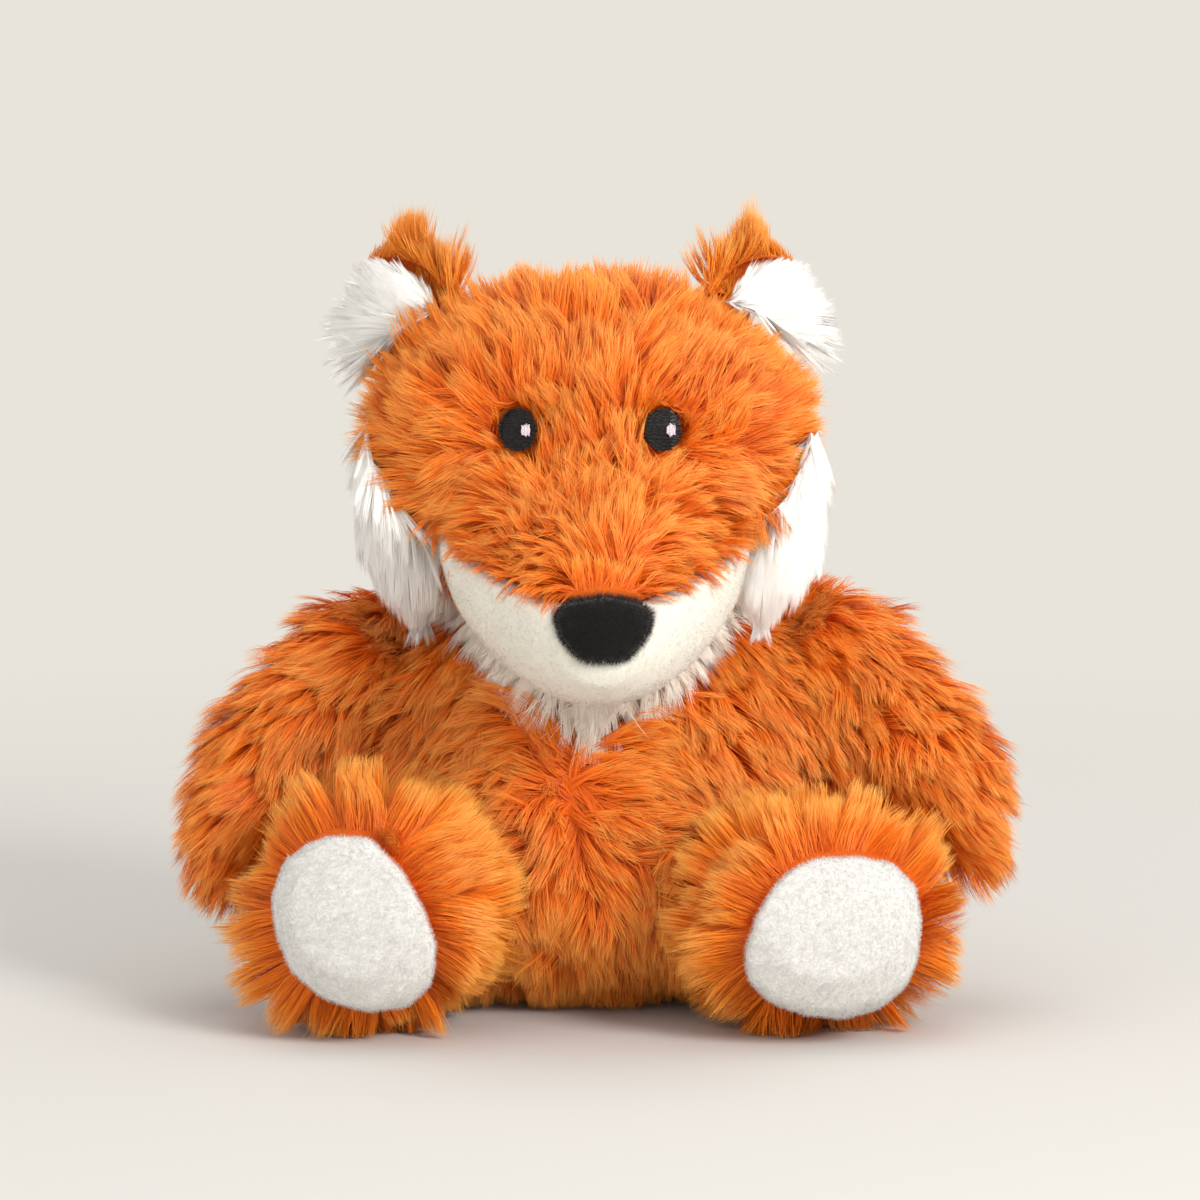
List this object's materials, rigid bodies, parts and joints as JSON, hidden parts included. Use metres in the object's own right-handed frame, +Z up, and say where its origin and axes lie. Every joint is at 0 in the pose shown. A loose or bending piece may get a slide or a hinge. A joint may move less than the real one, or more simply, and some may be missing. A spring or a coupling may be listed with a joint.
{
  "type": "plush fox",
  "caption": "Sitting plush fox in long orange fur, with a head that nods, soft arms, legs and tail, folding ears, and short plush muzzle and soles.",
  "frame": {"origin": "middle of the flat under the seat, where the body meets what it sits on", "axes": "+Z up, -Y the way the fox faces, +X the viewer's right when looking at its face"},
  "size_m": [0.2493, 0.2444, 0.2384],
  "materials": {
    "orange_fur": "long straight acrylic pile in clumped locks, soft sheen",
    "cream_fur": "long fine pile, matt",
    "white_fur": "long fine pile, matt",
    "cream_plush": "short velvety plush",
    "white_plush": "short dense plush",
    "black_fleece": "short brushed fleece",
    "black_thread": "satin-stitch embroidery thread",
    "pale_thread": "satin-stitch embroidery thread",
    "fibre_filling": "loose polyester fibre",
    "cotton_cloth": "plain woven cotton"
  },
  "bodies": {
    "torso": {"torso_cover": "orange_fur", "chest_bib": "cream_fur", "bean_pouch": "cotton_cloth", "torso_stuffing": "fibre_filling"},
    "head": {"head_cover": "orange_fur", "muzzle_jaw": "cream_plush", "head_stuffing": "fibre_filling", "cheek_left": "white_fur", "cheek_right": "white_fur", "nose": "black_fleece", "eye_left": "black_thread", "eye_right": "black_thread", "eye_glint_left": "pale_thread", "eye_glint_right": "pale_thread"},
    "ear_left": {"ear_back_left": "orange_fur", "ear_lining_left": "white_fur"},
    "ear_right": {"ear_back_right": "orange_fur", "ear_lining_right": "white_fur"},
    "arm_left": {"arm_cover_left": "orange_fur", "arm_stuffing_left": "fibre_filling"},
    "arm_right": {"arm_cover_right": "orange_fur", "arm_stuffing_right": "fibre_filling"},
    "leg_left": {"leg_cover_left": "orange_fur", "foot_pad_left": "white_plush", "leg_stuffing_left": "fibre_filling"},
    "leg_right": {"leg_cover_right": "orange_fur", "foot_pad_right": "white_plush", "leg_stuffing_right": "fibre_filling"},
    "tail": {"tail_cover": "orange_fur", "tail_tip": "white_fur", "tail_stuffing": "fibre_filling"}
  },
  "joints": [
    {"name": "head_nod", "type": "hinge", "parent": "torso", "child": "head", "pos_m": [-0.002, 0.00825, 0.116], "axis": [-1, 0, 0], "range_deg": [0, 18]},
    {"name": "ear_left_fold", "type": "hinge", "parent": "head", "child": "ear_left", "pos_m": [-0.05339, 0.004, 0.19958], "axis": [-0.7524, 0.6314, -0.1876], "range_deg": [-20, 20], "stiffness_Nm_per_rad": 0.08},
    {"name": "ear_right_fold", "type": "hinge", "parent": "head", "child": "ear_right", "pos_m": [0.04339, 0.004, 0.19958], "axis": [-0.7524, -0.6314, 0.1876], "range_deg": [-20, 20], "stiffness_Nm_per_rad": 0.08},
    {"name": "arm_left_lift", "type": "hinge", "parent": "torso", "child": "arm_left", "pos_m": [-0.03996, 0.018, 0.13], "axis": [0, 1, 0], "range_deg": [0, 35]},
    {"name": "arm_right_lift", "type": "hinge", "parent": "torso", "child": "arm_right", "pos_m": [0.03996, 0.018, 0.13], "axis": [0, -1, 0], "range_deg": [0, 35]},
    {"name": "leg_left_lift", "type": "hinge", "parent": "torso", "child": "leg_left", "pos_m": [-0.05476, -0.038, 0.05688], "axis": [-1, 0, 0], "range_deg": [0, 25]},
    {"name": "leg_right_lift", "type": "hinge", "parent": "torso", "child": "leg_right", "pos_m": [0.05476, -0.038, 0.05328], "axis": [-1, 0, 0], "range_deg": [0, 25]},
    {"name": "tail_lift", "type": "hinge", "parent": "torso", "child": "tail", "pos_m": [0, 0.046, 0.02895], "axis": [1, 0, 0], "range_deg": [0, 50]}
  ]
}
